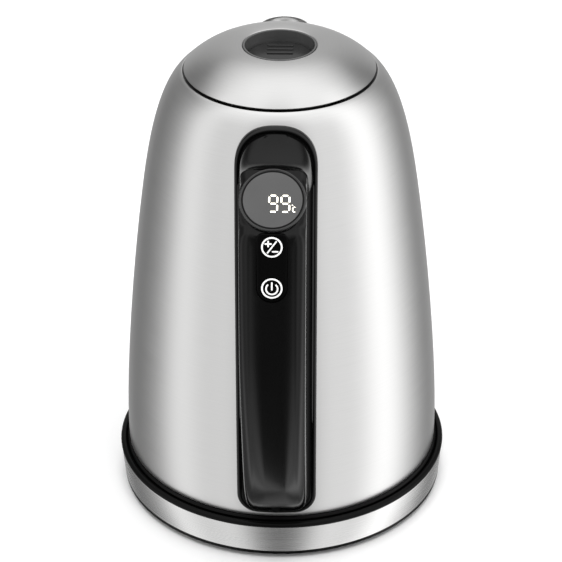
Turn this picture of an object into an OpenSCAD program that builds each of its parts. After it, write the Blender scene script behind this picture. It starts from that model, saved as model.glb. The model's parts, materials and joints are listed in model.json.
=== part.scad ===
// Cordless electric kettle: a domed steel jug with a display handle, standing on a round power base.
// Millimetres. +Z is up, the handle points to -Y and the spout to +Y.
// The origin is on the jug's axis, at the plane that the feet stand on.

/* [Power base] */
// How far the base stands out past the foot of the jug
base_out = 4.2; // [3.6:0.1:8]
// How much narrower the band is at its bottom
band_taper = 1.2; // [0:0.1:3]
// Height of the steel band
band_h = 14.4; // [12:0.2:20]
// Wall of the steel band
band_t = 0.8; // [0.5:0.1:1.2]
// Height of the black lip above the band
lip_h = 2.4; // [2:0.1:4]
// Gap between the floor and the bottom plate
foot_h = 2.1; // [1.5:0.1:4]
// Radius of each rubber foot
foot_r = 7; // [5:0.5:9]
// Number of rubber feet and of base screws
foot_count = 3; // [3:1:6]
// Direction of the first foot
foot_angle = -133; // [-180:1:180]
// Wall of the plastic mouldings in the base
base_wall = 2; // [1.6:0.1:3]

/* [Cordless connector] */
// Radius of the raised turret on the base
turret_r = 14.8; // [13:0.1:17]
// Height of the turret above the base's floor
turret_h = 11; // [9:0.5:14]
// Radius of the earth pin
pin_r = 2; // [1.5:0.1:2.5]
// Height of the earth pin above the turret
pin_h = 6; // [4:0.5:8]

/* [Cord outlet] */
// Radius of the hole that the supply cord runs through
cord_hole_r = 3.6; // [3:0.1:4.5]
// Length of that hole
cord_hole_l = 12; // [8:1:16]
// Direction of the outlet, from the handle side
cord_angle = 180; // [150:1:210]

/* [Steel jug] */
// Outer radius at the foot of the steel wall
jug_r = 74.8; // [70:0.2:84]
// Height of the straight wall, up to the shoulder
wall_h = 131.3; // [110:1:160]
// How much narrower the wall is at the start of the shoulder
flank_taper = 10.3; // [6:0.1:14]
// Height of the shoulder, up to the mouth
shoulder_h = 63.3; // [55:0.5:75]
// Outer radius of the mouth
mouth_r = 44.7; // [38:0.1:52]
// Thickness of the steel wall
steel_t = 0.8; // [0.5:0.1:1.2]
// Height of the heated floor above the foot of the wall
floor_h = 25; // [22:0.5:35]
// Thickness of the heated floor
floor_t = 1.2; // [0.8:0.1:2]

/* [Spout] */
// How far the lip's tip stands out past the mouth
spout_out = 32.3; // [28:0.1:40]
// Radius of the rounded tip
spout_tip_r = 12; // [8:0.5:14]
// Height of the lip below the mouth
spout_drop = 9; // [6:0.5:14]
// Radius of the pouring hole in the wall
spout_hole_r = 14; // [10:0.5:16]

/* [Lid] */
// Gap round the lid in the mouth
lid_gap = 1.2; // [0.8:0.1:2]
// Height of the lid's dome at the window
dome_h = 10.6; // [8:0.2:14]
// Thickness of the lid's steel cover
lid_t = 0.7; // [0.5:0.1:1]
// Radius of the finger dish in the lid
dish_r = 16.7; // [14:0.1:20]
// Depth of the finger dish
dish_depth = 5.3; // [4:0.1:8]

/* [Handle] */
// Width of the grip
grip_w = 28.4; // [24:0.2:34]
// Rim of the backing plate on each side of the grip
plate_rim = 4.1; // [3:0.1:6]
// Thickness of the backing plate
plate_t = 2; // [1.5:0.1:3]
// How far the grip's outer face stands out past the foot of the jug
grip_out = 41; // [38:0.5:48]
// Depth of the grip, front to back
grip_d = 18.8; // [16:0.2:22]
// Wall of the handle mouldings
handle_wall = 2.4; // [1.8:0.1:3]

/* [Display and keys] */
// Width of the ring round the display
bezel_w = 1.15; // [0.8:0.05:2]
// Distance between the two keys
key_pitch = 18.3; // [15:0.1:22]
// Radius of each key
key_r = 5; // [4:0.1:6]
// Travel of each key
key_travel = 0.6; // [0.4:0.1:1]
// Rim of the key panel round the keys
panel_rim = 1.6; // [1:0.1:3]

/* [Hidden] */
$fn = 96;
eps = 0.01;
fit_gap = 0.05;      // between pieces that are fixed to each other
run_gap = 0.3;       // between pieces that move past each other
screw_r = 1.5;
screw_head_r = 2.8;

// Sizes that follow the ones above
base_r = jug_r + base_out;
shoulder_r = jug_r - flank_taper;
spout_reach = mouth_r + spout_out;
lid_r = mouth_r - lid_gap;
plate_w = grip_w + 2 * plate_rim;
grip_reach = jug_r + grip_out;
bezel_r = grip_w / 2 + fit_gap;
lens_r = bezel_r - bezel_w;
panel_w = 2 * (key_r + panel_rim);

// Levels of the base
plate_z = foot_h;
band_z = foot_h + 1.5;
band_top = band_z + band_h;
lip_top = band_top + lip_h;
base_floor_z = band_top - 1;
seat_r = jug_r + 1.5;

// Levels of the jug
cover_z = lip_top - 0.7;
wall_z = band_top + 3.7;
shoulder_z = wall_z + wall_h;
mouth_z = shoulder_z + shoulder_h;
floor_z = wall_z + floor_h;
floor_flange_h = 6;
spreader_t = 3;
element_r = 3.6;
element_ring_r = 40;
element_z = floor_z - spreader_t - element_r - fit_gap;

// The wall's outline: a nearly straight flank and a rounded shoulder
function bez(a, b, c, d, t) =
    pow(1 - t, 3) * a + 3 * pow(1 - t, 2) * t * b + 3 * (1 - t) * t * t * c + pow(t, 3) * d;
function curve(a, b, c, d, n) = [for (i = [0:n]) bez(a, b, c, d, i / n)];
function tail(pts) = [for (i = [1:len(pts) - 1]) pts[i]];
function flip(pts) = [for (i = [len(pts) - 1:-1:0]) pts[i]];
function side_of(pts, i) = let (
    a = pts[max(i - 1, 0)], b = pts[min(i + 1, len(pts) - 1)], t = (b - a) / norm(b - a)
) [t[1], -t[0]];
function inset(pts, d) = [for (i = [0:len(pts) - 1]) pts[i] - d * side_of(pts, i)];
function radius_at(pts, z) = lookup(z, [for (p = pts) [p[1], p[0]]]);
function slice(pts, a, b) = [for (i = [a:b]) pts[i]];

flank_bulge = 1.2;
flank = curve([jug_r, wall_z], [jug_r + flank_bulge, wall_z + 0.18 * wall_h],
              [shoulder_r + 6.7, shoulder_z - 0.36 * wall_h], [shoulder_r, shoulder_z], 12);
shoulder = curve([shoulder_r, shoulder_z], [shoulder_r - 4, shoulder_z + 30],
                 [mouth_r + 10.3, mouth_z - 8.4], [mouth_r, mouth_z], 14);
wall_out = concat(flank, tail(shoulder));
wall_in = inset(wall_out, steel_t);
function outer_r(z) = radius_at(wall_out, z);
function inner_r(z) = radius_at(wall_in, z);

// The handle's outlines in the YZ plane, as [distance from the axis, height]
plate_low = wall_z + 3.3;
plate_high = mouth_z - 4;
grip_mid_z = wall_z + 106.3;
grip_outer = concat(
    curve([jug_r + 2.2, plate_low + 2], [jug_r + 17.2, plate_low + 13],
          [grip_reach - 2.8, plate_low + 57], [grip_reach, grip_mid_z], 10),
    tail(curve([grip_reach, grip_mid_z], [grip_reach + 0.8, grip_mid_z + 22],
               [grip_reach - 5.3, grip_mid_z + 44], [grip_reach - 9.2, grip_mid_z + 62.6], 8)));
grip_back = grip_reach - grip_d;
gap_low = plate_low + 30;
gap_high = grip_mid_z + 59;
grip_inner = concat(
    curve([jug_r - 4, gap_low], [grip_back - 5, gap_low + 3], [grip_back, gap_low + 29],
          [grip_back, gap_low + 63], 8),
    tail(curve([grip_back, gap_low + 63], [grip_back, gap_high - 27], [grip_back - 5, gap_high],
               [outer_r(gap_high) - 4, gap_high], 8)));

// Display plane and key panel plane
disc_tilt = 39;
disc_s = grip_reach - 20.8;
disc_z = grip_mid_z + 72.6;
disc_dir = [sin(90 - disc_tilt), cos(90 - disc_tilt)];
disc_low = [disc_s, disc_z] + bezel_r * [disc_dir[0], -disc_dir[1]];
disc_high = [disc_s, disc_z] - bezel_r * [disc_dir[0], -disc_dir[1]];
bezel_h = 1.6;
lens_t = 1.2;
panel_tilt = 79;
panel_s = grip_reach - 6.4;
panel_z = grip_mid_z + 48;
panel_t = 1.2;
saddle_root = [mouth_r + 5.8, plate_high - 2.5];
saddle = curve(disc_high, disc_high - [9.9, 8.1], saddle_root + [11.5, -9.3], saddle_root, 8);

// Lid and its hinge
lid_z = mouth_z + 1.2;
dome_z = lid_z + dome_h;
dome = curve([lid_r, lid_z], [lid_r - 7.3, lid_z + 6.9], [dish_r + 10.3, dome_z + 0.5], [dish_r, dome_z], 12);
hinge_y = -mouth_r + 1.2;
hinge_z = mouth_z - 9.8;
hinge_pin_r = 1.5;
hinge_barrel_r = 3;
arm_x = 5;
arm_w = 4;
ear_x = arm_x + arm_w / 2 + run_gap + 1.5;
swing_x = 27;        // half of the room that the lid's body needs as it swings up
swing_y = 26;        // how near the jug's axis that room reaches
pin_half = ear_x + 1.5;
lid_body_r = lid_r - 7;
lid_floor_z = hinge_z + 0.5;
collar_in_r = lid_body_r + 1.5;
collar_lip_z = hinge_z - 3.5;
seal_t = 3.9;
dish_floor_z = dome_z - dish_depth;
button_t = 2.4;
bolt_z = lid_floor_z + 2.4;
bolt_w = 8;
bolt_t = 3;
bolt_tip_y = collar_in_r - 0.4;

// ---------- shared shapes ----------
module revolve(pts) rotate_extrude() polygon(pts);
module across(width) rotate([90, 0, 90]) linear_extrude(width, center = true) children();
module side_view(pts, width) across(width) polygon([for (p = pts) [-p[0], p[1]]]);
module on_display() translate([0, -disc_s, disc_z]) rotate([disc_tilt, 0, 0]) children();
module on_panel() translate([0, -panel_s, panel_z]) rotate([panel_tilt, 0, 0]) children();
module around(n, r, start = 0) for (i = [0:n - 1])
    rotate(start + i * 360 / n) translate([r, 0, 0]) children();
module tube(r_out, r_in, h) difference() {
    cylinder(r = r_out, h = h);
    translate([0, 0, -1]) cylinder(r = r_in, h = h + 2);
}
// The space inside the steel wall's outer face grown by d
module jug_space(d) {
    grown = inset(wall_out, -d);
    revolve(concat([[0, wall_z - 20], [grown[0][0], wall_z - 20]], grown, [[0, mouth_z + 1]]));
}
// A round wire along a path; ref is a direction that the path never follows
function ring_at(path, i, r, ref, sides) = let (
    t = path[min(i + 1, len(path) - 1)] - path[max(i - 1, 0)],
    u = cross(ref, t) / norm(cross(ref, t)), w = cross(t, u) / norm(t)
) [for (k = [0:sides - 1]) path[i] + r * (cos(360 * k / sides) * u + sin(360 * k / sides) * w)];
module wire(path, r, ref, sides = 8) {
    n = len(path) - 1;
    polyhedron(
        points = [for (i = [0:n], p = ring_at(path, i, r, ref, sides)) p],
        faces = concat(
            [[for (k = [sides - 1:-1:0]) k]],
            [for (i = [0:n - 1], k = [0:sides - 1]) let (j = (k + 1) % sides)
                [i * sides + k, i * sides + j, (i + 1) * sides + j, (i + 1) * sides + k]],
            [[for (k = [0:sides - 1]) n * sides + k]]));
}
module coil(r, wire_r, pitch, turns, per_turn = 14)
    wire([for (i = [0:turns * per_turn]) let (a = 360 * i / per_turn)
        [r * cos(a), r * sin(a), pitch * i / per_turn]], wire_r, [0, 0, 1]);
// A pan-head screw pointing up from z = 0, its head below
module screw(r, head_r, head_h, length) {
    translate([0, 0, -head_h]) cylinder(r = head_r, h = head_h + eps);
    cylinder(r = r, h = length);
}

// ---------- power base ----------
foot_ring_r = base_r - foot_r - 2.5;
screw_ring_r = base_r - 30;
// The last foot is under the connector
module foot_places() {
    around(foot_count, foot_ring_r, foot_angle) children();
    children();
}
module base_screw_places() around(foot_count, screw_ring_r, foot_angle + 60) children();
module outlet_place() rotate(cord_angle)
    translate([0, -(base_r - 9), band_z + 3.4]) rotate([90, 0, 0]) children();
outlet_r = cord_hole_r + 1.6;
outlet_flange = 1.4;

module base_bottom_plate() color("#1c1c1e") difference() {
    union() {
        translate([0, 0, plate_z]) cylinder(r = base_r - band_taper - band_t - fit_gap, h = base_wall);
        translate([0, 0, plate_z]) cylinder(r = base_r - band_taper - 0.1, h = band_z - fit_gap - plate_z);
        base_screw_places() translate([0, 0, plate_z]) cylinder(r = screw_head_r + 1.6, h = base_wall + 2);
    }
    foot_places() translate([0, 0, plate_z - 1]) cylinder(r = foot_r + fit_gap, h = 2);
    base_screw_places() translate([0, 0, plate_z - 1]) cylinder(r = screw_head_r + 0.2, h = 3.4);
    base_screw_places() translate([0, 0, plate_z]) cylinder(r = screw_r + 0.2, h = 9);
    outlet_place() translate([0, 0, -4])
        cylinder(r = outlet_r + outlet_flange + fit_gap, h = cord_hole_l + 8);
}
module base_feet() color("#2a2a2c") foot_places() cylinder(r = foot_r, h = foot_h + 1 - fit_gap);
module base_screws() color("#8d8d90") base_screw_places()
    translate([0, 0, plate_z + 2.4 - fit_gap]) screw(screw_r, screw_head_r, 2, 9);
module base_trim_band() color("#c9c9c7") difference() {
    revolve([[base_r - band_taper - band_t, band_z], [base_r - band_taper, band_z],
             [base_r, band_top], [base_r - band_t, band_top]]);
    outlet_place() translate([0, 0, -4]) cylinder(r = outlet_r + fit_gap, h = cord_hole_l + 8);
}
module base_top_cover() color("#141416") {
    skin_r = base_r - band_t - fit_gap;
    difference() {
        revolve([
            [turret_r + run_gap, base_floor_z - base_wall], [seat_r - 3, base_floor_z - base_wall],
            [skin_r - base_wall, base_floor_z - base_wall - 2],
            [skin_r - base_wall, plate_z + base_wall + fit_gap],
            [skin_r - band_taper, plate_z + base_wall + fit_gap], [skin_r, band_top + fit_gap],
            [base_r, band_top + fit_gap], [base_r + 0.3, band_top + lip_h * 0.35],
            [base_r - 0.1, band_top + lip_h * 0.7], [base_r - 1.1, lip_top],
            [seat_r + 0.4, lip_top - 0.2], [seat_r - 0.2, cover_z - 0.5], [seat_r - 3, cover_z - 0.5],
            [seat_r - 6, base_floor_z], [turret_r + run_gap, base_floor_z]]);
        outlet_place() translate([0, 0, -4]) cylinder(r = outlet_r + fit_gap, h = cord_hole_l + 8);
    }
    base_screw_places() difference() {
        translate([0, 0, plate_z + base_wall + 2 + fit_gap])
            cylinder(r = screw_head_r + 1, h = base_floor_z - plate_z - base_wall * 2 - 2);
        translate([0, 0, plate_z]) cylinder(r = screw_r, h = 12);
    }
}
module base_connector() color("#2b2b2e") {
    boss_z = plate_z + base_wall + fit_gap;
    difference() {
        union() {
            translate([0, 0, boss_z]) cylinder(r = turret_r, h = base_floor_z + turret_h - boss_z);
            translate([0, 0, boss_z])
                cylinder(r = turret_r + 8, h = base_floor_z - base_wall - boss_z - fit_gap);
        }
        translate([0, 0, boss_z - 1]) cylinder(r = pin_r + fit_gap, h = 40);
        for (r = [7.2, 11.4]) translate([0, 0, base_floor_z + turret_h - 6]) tube(r + 1.1, r - 1.1, 8);
    }
}
module connector_pin() color("#c8a24a") {
    top = base_floor_z + turret_h + pin_h;
    translate([0, 0, plate_z + base_wall + 1]) cylinder(r = pin_r, h = top - plate_z - base_wall - 2);
    translate([0, 0, top - 1 - eps]) cylinder(r1 = pin_r, r2 = pin_r - 0.8, h = 1);
}
module contact_rings() color("#c8a24a") for (r = [7.2, 11.4])
    translate([0, 0, base_floor_z + turret_h - 6]) tube(r + 0.9, r - 0.9, 5.6);
module cord_outlet() color("#0f0f10") outlet_place() difference() {
    union() {
        cylinder(r = outlet_r, h = cord_hole_l);
        translate([0, 0, 1]) cylinder(r = outlet_r + outlet_flange, h = 2);
    }
    translate([0, 0, -1]) cylinder(r = cord_hole_r, h = cord_hole_l + 2);
}

// ---------- underside of the jug ----------
socket_r = turret_r + 8;
socket_top = base_floor_z + turret_h + 3;
module socket_ring() color("#39393c") difference() {
    translate([0, 0, cover_z]) cylinder(r = socket_r, h = socket_top - cover_z);
    translate([0, 0, cover_z - 1]) cylinder(r = turret_r + run_gap, h = socket_top - cover_z + 2);
    translate([0, 0, cover_z - 1]) cylinder(r1 = turret_r + 3, r2 = turret_r, h = 3);
}
module jug_connector() color("#2b2b2e") {
    top = floor_z - spreader_t - 2.4;
    difference() {
        union() {
            translate([0, 0, socket_top + run_gap])
                cylinder(r = socket_r + 2, h = top - socket_top - run_gap);
            translate([0, 0, base_floor_z + turret_h + run_gap])
                cylinder(r = pin_r + 2.2, h = socket_top - base_floor_z - turret_h);
        }
        translate([0, 0, base_floor_z]) cylinder(r = pin_r + run_gap, h = turret_h + pin_h + 1.5);
        for (r = [7.2, 11.4], a = [0, 180]) rotate(a + r * 10) translate([r, 0, base_floor_z + turret_h])
            cylinder(r = 0.9 + fit_gap, h = socket_top - base_floor_z - turret_h + 2.2);
    }
}
module socket_contacts() color("#c8a24a") for (r = [7.2, 11.4], a = [0, 180])
    rotate(a + r * 10) translate([r, 0, base_floor_z + turret_h + 0.4])
        cylinder(r = 0.9, h = socket_top - base_floor_z - turret_h + 1.6);
module bottom_screw_places() around(3, jug_r - 17, 90) children();
module bottom_cover() color("#141416") {
    wall_foot = wall_in[0][0];
    difference() {
        union() {
            revolve([[socket_r + run_gap, cover_z], [seat_r - 0.9, cover_z], [seat_r - 0.4, cover_z + 0.6],
                     [jug_r + 0.3, wall_z - fit_gap], [wall_foot - fit_gap, wall_z - fit_gap],
                     [wall_foot - fit_gap - 0.2, wall_z + 4], [wall_foot - fit_gap - 2.2, wall_z + 4],
                     [wall_foot - fit_gap - 2.2, cover_z + 2], [socket_r + run_gap, cover_z + 2]]);
            bottom_screw_places() translate([0, 0, cover_z]) cylinder(r = 5, h = 6);
        }
        bottom_screw_places() translate([0, 0, cover_z - 1]) cylinder(r = screw_head_r + 0.2, h = 3.4);
        bottom_screw_places() translate([0, 0, cover_z]) cylinder(r = screw_r + 0.2, h = 9);
    }
}
module bottom_screws() color("#8d8d90") bottom_screw_places()
    translate([0, 0, cover_z + 2.4 - fit_gap])
        screw(screw_r, screw_head_r, 2, floor_z - cover_z - spreader_t - 2.6);
module bottom_seal() color("#c9c9c2") difference() {
    z0 = wall_z + 4 + fit_gap;
    translate([0, 0, z0]) cylinder(r = inner_r(z0) - 0.4, h = 2.4);
    translate([0, 0, z0 - 1]) cylinder(r = inner_r(z0) - 3.4, h = 5);
}

// ---------- steel jug ----------
spout_z = mouth_z - spout_drop;
spout_hole_z = spout_z - spout_hole_r - 3.5;
module body_shell() color("#c4c4c2") difference() {
    revolve(concat(wall_out, flip(wall_in)));
    translate([0, 20, spout_hole_z]) rotate([-90, 0, 0]) cylinder(r = spout_hole_r, h = 60);
    handle_screw_places() translate([0, 0, -6]) cylinder(r = handle_screw_r + fit_gap, h = 16);
    cable_hole();
}
module beak(grow) hull() {
    translate([0, spout_reach - spout_tip_r, spout_z - 1])
        cylinder(r = spout_tip_r + grow, h = 1 + max(-grow, 0), $fn = 48);
    translate([0, mouth_r - 24.7, spout_z - 1]) cylinder(r = 24 + grow, h = 1 + max(-grow, 0), $fn = 48);
    translate([0, mouth_r - 14.7, spout_z - 44]) cylinder(r = 30 + grow, h = 1, $fn = 48);
}
module spout_beak() color("#c4c4c2") difference() {
    beak(0);
    beak(-steel_t);
    jug_space(fit_gap);
}
frame_y = inner_r(spout_z) - 7.4;
frame_w = 2 * spout_hole_r + 6;
frame_top_z = spout_hole_z + spout_hole_r + 3;
module spout_filter_frame() color("#26262a") difference() {
    translate([-frame_w / 2, frame_y, spout_hole_z - spout_hole_r - 3])
        cube([frame_w, 2.4, 2 * spout_hole_r + 6]);
    translate([-spout_hole_r, frame_y - 1, spout_hole_z - spout_hole_r])
        cube([2 * spout_hole_r, 5, 2 * spout_hole_r]);
}
module spout_filter_mesh() color("#b9b9b4") {
    wire = 0.5;
    step = 2 * spout_hole_r / 11;
    translate([0, frame_y + 1, spout_hole_z]) for (i = [-5:5]) {
        translate([i * step - wire / 2, 0, -spout_hole_r]) cube([wire, wire, 2 * spout_hole_r]);
        translate([-spout_hole_r, 0, i * step - wire / 2]) cube([2 * spout_hole_r, wire, wire]);
    }
}
module mouth_collar() color("#1a1a1c") {
    top = mouth_z - 1.4;
    bottom = collar_lip_z - 2;
    outer = [for (i = [0:6]) let (z = bottom + (top - bottom) * i / 6) [inner_r(z) - fit_gap, z]];
    difference() {
        revolve(concat([[collar_in_r - 3, bottom]], outer, [[collar_in_r, top],
                [collar_in_r, collar_lip_z], [collar_in_r - 3, collar_lip_z]]));
        translate([-swing_x, -mouth_r - 20, hinge_z - 3]) cube([2 * swing_x, mouth_r + 20 - swing_y, 40]);
        translate([-frame_w / 2 - run_gap, frame_y - run_gap, bottom - 1])
            cube([frame_w + 2 * run_gap, 20, frame_top_z + run_gap - bottom + 1]);
        translate([-bolt_w / 2 - 0.5, bolt_tip_y - 3, bolt_z - 0.5]) cube([bolt_w + 1, 6, bolt_t + 1]);
    }
    for (side = [-1, 1]) difference() {
        translate([side * ear_x, 0, 0]) across(3 - eps) union() {
            translate([hinge_y, hinge_z]) circle(r = hinge_barrel_r);
            translate([hinge_y - hinge_barrel_r, bottom + 1])
                square([2 * hinge_barrel_r, hinge_z - bottom - 1]);
        }
        translate([0, hinge_y, hinge_z]) rotate([0, 90, 0]) cylinder(r = hinge_pin_r, h = 60, center = true);
    }
}
module floor_plate() color("#b4b4b2") difference() {
    z1 = floor_z - floor_flange_h;
    outer = [for (i = [0:4]) let (z = z1 + (floor_flange_h + floor_t) * i / 4) [inner_r(z) - fit_gap, z]];
    revolve(concat([[0, floor_z], [inner_r(floor_z) - 1.2, floor_z], [inner_r(z1) - 1.2, z1]], outer,
                   [[0, floor_z + floor_t]]));
    translate([18, 0, floor_z - 1]) cylinder(r = 2.5 + fit_gap, h = 5);
}
module heat_spreader() color("#a9acb0") difference() {
    translate([0, 0, floor_z - spreader_t]) cylinder(r = element_ring_r + 12, h = spreader_t - fit_gap);
    translate([18, 0, floor_z - 9]) cylinder(r = 4.2, h = 12);
}
module heating_element() color("#77777a") {
    translate([0, 0, element_z]) rotate(-60)
        rotate_extrude(angle = 300) translate([element_ring_r, 0]) circle(r = element_r);
}
module element_terminals() color("#d0d0ce") for (a = [-60, 240])
    rotate(a) translate([element_ring_r, 0, element_z]) rotate([(a < 0 ? 1 : -1) * 90, 0, 0]) {
        translate([0, 0, fit_gap]) cylinder(r = 2, h = 4);
        cylinder(r = 1, h = 9);
    }
module thermal_cutouts() color("#3a3a40") for (a = [150, 210])
    rotate(a) translate([30.6, 0, floor_z - spreader_t - 3.5 - fit_gap]) cylinder(r = 5.5, h = 3.5);
module temperature_probe() color("#b4b4b2") translate([18, 0, 0]) {
    translate([0, 0, floor_z - 5.2]) cylinder(r = 2.5, h = 15.2);
    translate([0, 0, floor_z - 2.5]) cylinder(r = 4, h = 2.5 - fit_gap);
    translate([0, 0, floor_z + 10]) sphere(r = 2.5);
}

// ---------- handle ----------
handle_screw_r = 2;
cable_r = 1.8;
handle_screw_head_r = 3.6;
handle_screw_l = 6.5;
handle_screw_z = [wall_z + 10.3, gap_high + 8];
// The heads stand clear of the wall, which leans in at the upper screw
module handle_screw_places() for (z = handle_screw_z)
    translate([0, 0.2 - inner_r(z + handle_screw_head_r), z]) rotate([90, 0, 0]) children();
module plate_outline(w) rotate([90, 0, 0]) linear_extrude(90) {
    r = w / 2;
    translate([-r, plate_low + 9]) square([w, plate_high - plate_low - 9 - r]);
    translate([0, plate_high - r]) circle(r = r);
    for (x = [-1, 1]) translate([x * (r - 9), plate_low + 9]) circle(r = 9);
    translate([-r + 9, plate_low]) square([w - 18, 9 + eps]);
}
module handle_plate() color("#101012") difference() {
    intersection() {
        jug_space(plate_t);
        plate_outline(plate_w);
    }
    jug_space(fit_gap);
    handle_screw_places() translate([0, 0, -6]) cylinder(r = handle_screw_r + fit_gap, h = 16);
    cable_hole();
}
cable_z = wall_z + 16.2;
cable_line = concat(
    curve([grip_reach - 12, panel_z - 24], [grip_reach - 11, grip_mid_z - 20],
          [grip_reach - 11, gap_low + 20], [jug_r + 10, cable_z + 10], 8),
    tail(curve([jug_r + 10, cable_z + 10], [jug_r + 7, cable_z + 6.4], [jug_r + 8, cable_z], [jug_r + 2, cable_z], 4)),
    [[jug_r - 8, cable_z]]);
module handle_cable() color("#7c7c80") wire([for (p = cable_line) [0, -p[0], p[1]]], cable_r, [1, 0, 0]);
module cable_channel() side_view(concat(inset(cable_line, cable_r + 0.6), flip(inset(cable_line, -cable_r - 0.6))),
                                 2 * cable_r + 1.2);
module cable_hole() translate([0, -jug_r + 8, cable_z])
    rotate([90, 0, 0]) cylinder(r = cable_r + 0.4, h = 14);

loop_front = concat(grip_outer, [disc_low - [0.4, 0], disc_high]);
module loop_solid() difference() {
    intersection() {
        side_view(concat([[jug_r - 6, plate_low + 2]], loop_front, tail(saddle),
                         [[saddle_root[0] - 6, saddle_root[1]], [outer_r(gap_high) - 5, gap_high]],
                         tail(flip(grip_inner))), plate_w);
        loop_plan();
    }
    jug_space(plate_t + fit_gap);
}
// Seen from above: the bridge to the jug flares from the grip's width to the plate's
module loop_plan() linear_extrude(mouth_z + 20) {
    flare = curve([plate_w / 2, -saddle_root[0] - 4], [grip_w / 2, -saddle_root[0] - 8],
                  [grip_w / 2, -saddle_root[0] - 16], [grip_w / 2, -saddle_root[0] - 24], 6);
    right = concat([[plate_w / 2, -20]], flare, [[grip_w / 2, -grip_reach - 10]]);
    polygon(concat(right, [for (p = flip(right)) [-p[0], p[1]]]));
}
split_d = 8;
split_line = inset(grip_outer, split_d);
cover_from = 2;
module cover_region() {
    last = len(grip_outer) - 1;
    side_view(concat(inset(slice(grip_outer, cover_from, last), -5), [disc_low + [6, 3], disc_high + [1, 6]],
                     [disc_high - [6, 4], split_line[last] - [2, -1]],
                     flip(slice(split_line, cover_from, last - 1))), plate_w + 4);
}
module handle_cavity() {
    last = len(grip_outer) - 1;
    side_view(concat(inset(slice(grip_outer, cover_from + 1, last), handle_wall),
                     [disc_low - [4, 1.5], disc_high - [-2, 4.5], [disc_high[0] - 1, gap_high + 6]],
                     flip(inset(slice(grip_inner, 4, 12), -handle_wall))), grip_w - 2 * handle_wall);
}
module display_bore() on_display() translate([0, 0, -bezel_h - 7]) cylinder(r = lens_r - 0.8, h = 20);
module handle_outer_cover() color("#0c0c0e") difference() {
    intersection() {
        loop_solid();
        cover_region();
    }
    handle_cavity();
    cable_channel();
    display_bore();
    on_display() translate([0, 0, -bezel_h]) cylinder(r = bezel_r + 6, h = 20);
    on_panel() translate([0, 0, -panel_t]) panel_shape(panel_w + 2 * fit_gap, 12);
    on_panel() key_places() translate([0, 0, -9]) cylinder(r = key_r + 0.9, h = 12);
}
module handle_inner_shell() color("#101012") difference() {
    loop_solid();
    cover_region();
    handle_cavity();
    handle_screw_places() cylinder(r = handle_screw_r, h = 14);
    cable_channel();
}
module handle_screws() color("#8d8d90") handle_screw_places()
    translate([0, 0, -fit_gap]) screw(handle_screw_r - 0.02, handle_screw_head_r, 2, handle_screw_l + 3);
module display_bezel() color("#1a1a1c") on_display() difference() {
    translate([0, 0, -bezel_h + fit_gap]) cylinder(r = bezel_r, h = bezel_h);
    translate([0, 0, -lens_t - fit_gap]) cylinder(r = lens_r + fit_gap, h = 5);
    translate([0, 0, -5]) cylinder(r = lens_r - 0.8, h = 10);
}
module display_lens() color("#4a4a4c") on_display()
    translate([0, 0, -lens_t]) cylinder(r = lens_r, h = lens_t);
module display_board() color("#1d3a2a") on_display()
    translate([0, 0, -lens_t - 3.6]) cylinder(r = lens_r - 1.2, h = 1.6);
// Seven-segment strokes: a, b, c, d, e, f, g as [x, y, angle]
segment_l = 3;
segment_w = 0.75;
segments = [[0, 2 * segment_l, 0], [segment_l, 1.5 * segment_l, 90], [segment_l, 0.5 * segment_l, 90], [0, 0, 0],
            [0, 0.5 * segment_l, 90], [0, 1.5 * segment_l, 90], [0, segment_l, 0]];
module segment(k) {
    s = segments[k];
    long = segment_l - segment_w;
    flat = s[2] == 0;
    translate([s[0] + (flat ? segment_l / 2 : 0) - (flat ? long : segment_w) / 2,
               s[1] - (flat ? segment_w : long) / 2, 0]) cube([flat ? long : segment_w, flat ? segment_w : long, 0.5]);
}
module display_digits() color("#fff6e0") on_display() translate([0.2, -3.4, -lens_t - 2]) {
    for (digit = [0, 1], k = [0, 1, 2, 3, 5, 6]) translate([-2.5 + digit * 4.9, 0, 0]) segment(k);
    translate([7, 0, 0]) difference() {
        cube([2, 3, 0.5]);
        translate([0.5, 0.5, -1]) cube([2, 2, 3]);
    }
}
panel_low = -key_pitch / 2 - key_r - 1.25;
panel_high = key_pitch / 2 + key_r + 0.65;
module panel_shape(w, h) {
    translate([-w / 2, panel_low + w / 2, 0]) cube([w, panel_high - panel_low - w / 2, h]);
    translate([0, panel_low + w / 2, 0]) cylinder(r = w / 2, h = h);
}
module key_places() for (y = [-1, 1]) translate([0, y * key_pitch / 2, 0]) children();
module key_panel() color("#060607") on_panel() difference() {
    translate([0, 0, -panel_t + fit_gap]) panel_shape(panel_w, panel_t);
    key_places() translate([0, 0, -3]) cylinder(r = key_r + 0.15, h = 6);
}
key_depth = 3.4;
module one_key(y) on_panel() translate([0, y, 0]) {
    translate([0, 0, -key_depth]) cylinder(r = key_r, h = key_depth + 0.1);
    translate([0, 0, -key_depth]) cylinder(r = key_r + 0.6, h = 1.2);
    translate([0, 0, -key_depth - 1]) cylinder(r = 1.4, h = 1 + eps);
}
module temperature_key() color("#0b0b0d") one_key(key_pitch / 2);
module power_key() color("#0b0b0d") one_key(-key_pitch / 2);
board_z = -key_depth - 1 - key_travel - 0.4 - 3.1 - 1.6;
module control_board() color("#1d5a35") on_panel() translate([-9.5, -20, board_z]) cube([19, 34, 1.6]);
module key_switches() color("#3a3a3e") on_panel() key_places() translate([0, 0, board_z + 1.6 + fit_gap]) {
    translate([-3, -3, 0]) cube([6, 6, 2.3]);
    cylinder(r = 1.7, h = 3);
}

// ---------- lid ----------
module lid_cover() color("#c4c4c2") {
    under = inset(dome, lid_t);
    revolve(concat(dome, flip(under)));
}
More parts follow.
